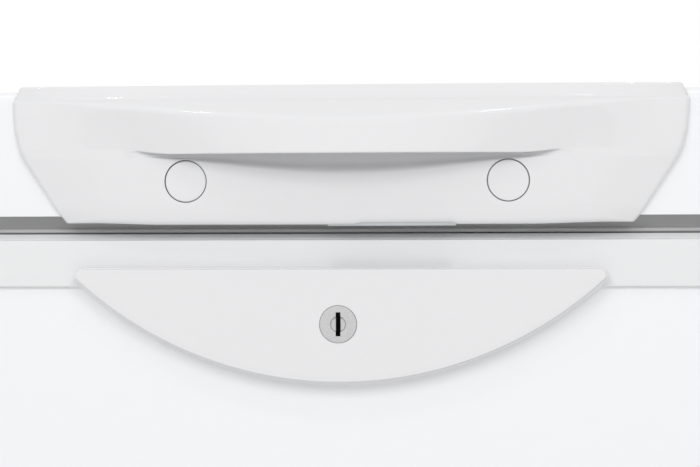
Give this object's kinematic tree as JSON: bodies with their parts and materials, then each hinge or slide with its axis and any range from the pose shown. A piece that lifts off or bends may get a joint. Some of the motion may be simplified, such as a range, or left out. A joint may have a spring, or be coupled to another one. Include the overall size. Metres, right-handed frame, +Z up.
{
  "type": "chest freezer",
  "caption": "Horizontal chest freezer with a solid lift-up lid, bowed lid handle, half-moon lock cover, key lock, hanging basket and levelling feet.",
  "frame": {"origin": "on the floor, under the middle of the bounding box", "axes": "+X to the right seen from the front, +Y to the back, +Z up"},
  "size_m": [0.946, 0.606, 0.8521],
  "materials": {
    "white_enamel": "gloss",
    "zinc_steel": "satin",
    "fastener_steel": "satin",
    "liner_white": "satin",
    "light_plastic": "satin",
    "handle_plastic": "satin",
    "inner_plastic": "satin",
    "grey_plastic": "matte",
    "seal": "matte",
    "foot_plastic": "matte",
    "foam": "matte",
    "lock_metal": "satin",
    "black_paint": "satin",
    "copper": "satin",
    "tube_aluminium": "satin",
    "lens": "gloss",
    "wire_white": "gloss"
  },
  "bodies": {
    "cabinet": {"outer_wrapper": "white_enamel", "rear_panel": "white_enamel", "base_pan": "zinc_steel", "inner_liner": "liner_white", "machine_wall": "zinc_steel", "foam_insulation": "foam", "evaporator_coil": "tube_aluminium", "top_collar": "light_plastic", "compressor_shell": "black_paint", "compressor_mount": "zinc_steel", "compressor_grommets": "seal", "compressor_bolts": "fastener_steel", "relay_cover": "grey_plastic", "suction_line": "copper", "discharge_line": "copper", "filter_drier": "copper", "capillary_coil": "copper", "side_grille": "grey_plastic", "machine_cover": "zinc_steel", "power_inlet": "grey_plastic", "control_panel": "inner_plastic", "indicator_lenses": "lens", "thermostat_body": "grey_plastic", "drain_tube": "grey_plastic", "drain_bezel": "inner_plastic", "escutcheon": "handle_plastic", "lock_sleeve": "lock_metal", "lock_pocket": "grey_plastic", "foot_nuts": "fastener_steel", "hinge_pins": "fastener_steel", "hinge_screws": "fastener_steel", "hinge_body_left": "zinc_steel", "hinge_spring_left": "zinc_steel", "hinge_body_right": "zinc_steel", "hinge_spring_right": "zinc_steel"},
    "lid": {"lid_skin": "white_enamel", "lid_liner": "inner_plastic", "lid_foam": "foam", "lid_gasket": "seal", "lid_handle": "handle_plastic", "handle_caps": "handle_plastic", "handle_screws": "fastener_steel", "strike_plate": "zinc_steel", "strike_screws": "fastener_steel", "hinge_wing_left": "zinc_steel", "hinge_wing_right": "zinc_steel", "wing_screws": "fastener_steel"},
    "lock": {"lock_plug": "lock_metal", "lock_arm": "zinc_steel", "lock_clip": "zinc_steel"},
    "thermostat_knob": {"thermostat_knob": "inner_plastic"},
    "drain_cap": {"drain_cap": "grey_plastic"},
    "drain_plug": {"drain_plug": "grey_plastic"},
    "basket": {"storage_basket": "wire_white"},
    "plunger_left": {"hinge_plunger_left": "zinc_steel"},
    "plunger_right": {"hinge_plunger_right": "zinc_steel"},
    "foot_front_left": {"foot_front_left": "foot_plastic"},
    "foot_front_right": {"foot_front_right": "foot_plastic"},
    "foot_rear_left": {"foot_rear_left": "foot_plastic"},
    "foot_rear_right": {"foot_rear_right": "foot_plastic"}
  },
  "joints": [
    {"name": "lid_hinge", "type": "hinge", "parent": "cabinet", "child": "lid", "pos_m": [0, 0.285, 0.7946], "axis": [-1, 0, 0], "range_deg": [0, 80]},
    {"name": "lock_turn", "type": "hinge", "parent": "cabinet", "child": "lock", "pos_m": [-0.0042, -0.277, 0.7361], "axis": [0, -1, 0], "range_deg": [0, 90]},
    {"name": "thermostat_turn", "type": "hinge", "parent": "cabinet", "child": "thermostat_knob", "pos_m": [0.39, -0.269, 0.23], "axis": [0, 1, 0], "range_deg": [0, 280]},
    {"name": "drain_cap_pull", "type": "slide", "parent": "cabinet", "child": "drain_cap", "axis": [0, -1, 0], "range_m": [0, 0.03]},
    {"name": "drain_plug_lift", "type": "slide", "parent": "cabinet", "child": "drain_plug", "axis": [0, 0, 1], "range_m": [0, 0.06]},
    {"name": "basket_slide", "type": "slide", "parent": "cabinet", "child": "basket", "axis": [1, 0, 0], "range_m": [0, 0.572]},
    {"name": "plunger_left_slide", "type": "slide", "parent": "cabinet", "child": "plunger_left", "axis": [0, 0, -1], "range_m": [0, 0.00858], "deforming": ["hinge_spring_left"]},
    {"name": "plunger_right_slide", "type": "slide", "parent": "cabinet", "child": "plunger_right", "axis": [0, 0, -1], "range_m": [0, 0.00858], "deforming": ["hinge_spring_right"]},
    {"name": "foot_front_left_level", "type": "slide", "parent": "cabinet", "child": "foot_front_left", "axis": [0, 0, -1], "range_m": [0, 0.015]},
    {"name": "foot_front_right_level", "type": "slide", "parent": "cabinet", "child": "foot_front_right", "axis": [0, 0, -1], "range_m": [0, 0.015]},
    {"name": "foot_rear_left_level", "type": "slide", "parent": "cabinet", "child": "foot_rear_left", "axis": [0, 0, -1], "range_m": [0, 0.015]},
    {"name": "foot_rear_right_level", "type": "slide", "parent": "cabinet", "child": "foot_rear_right", "axis": [0, 0, -1], "range_m": [0, 0.015]}
  ],
  "couplings": [
    {"joint": "plunger_left_slide", "follows": "lid_hinge", "m_per_rad": 0.006},
    {"joint": "plunger_right_slide", "follows": "lid_hinge", "m_per_rad": 0.006}
  ]
}
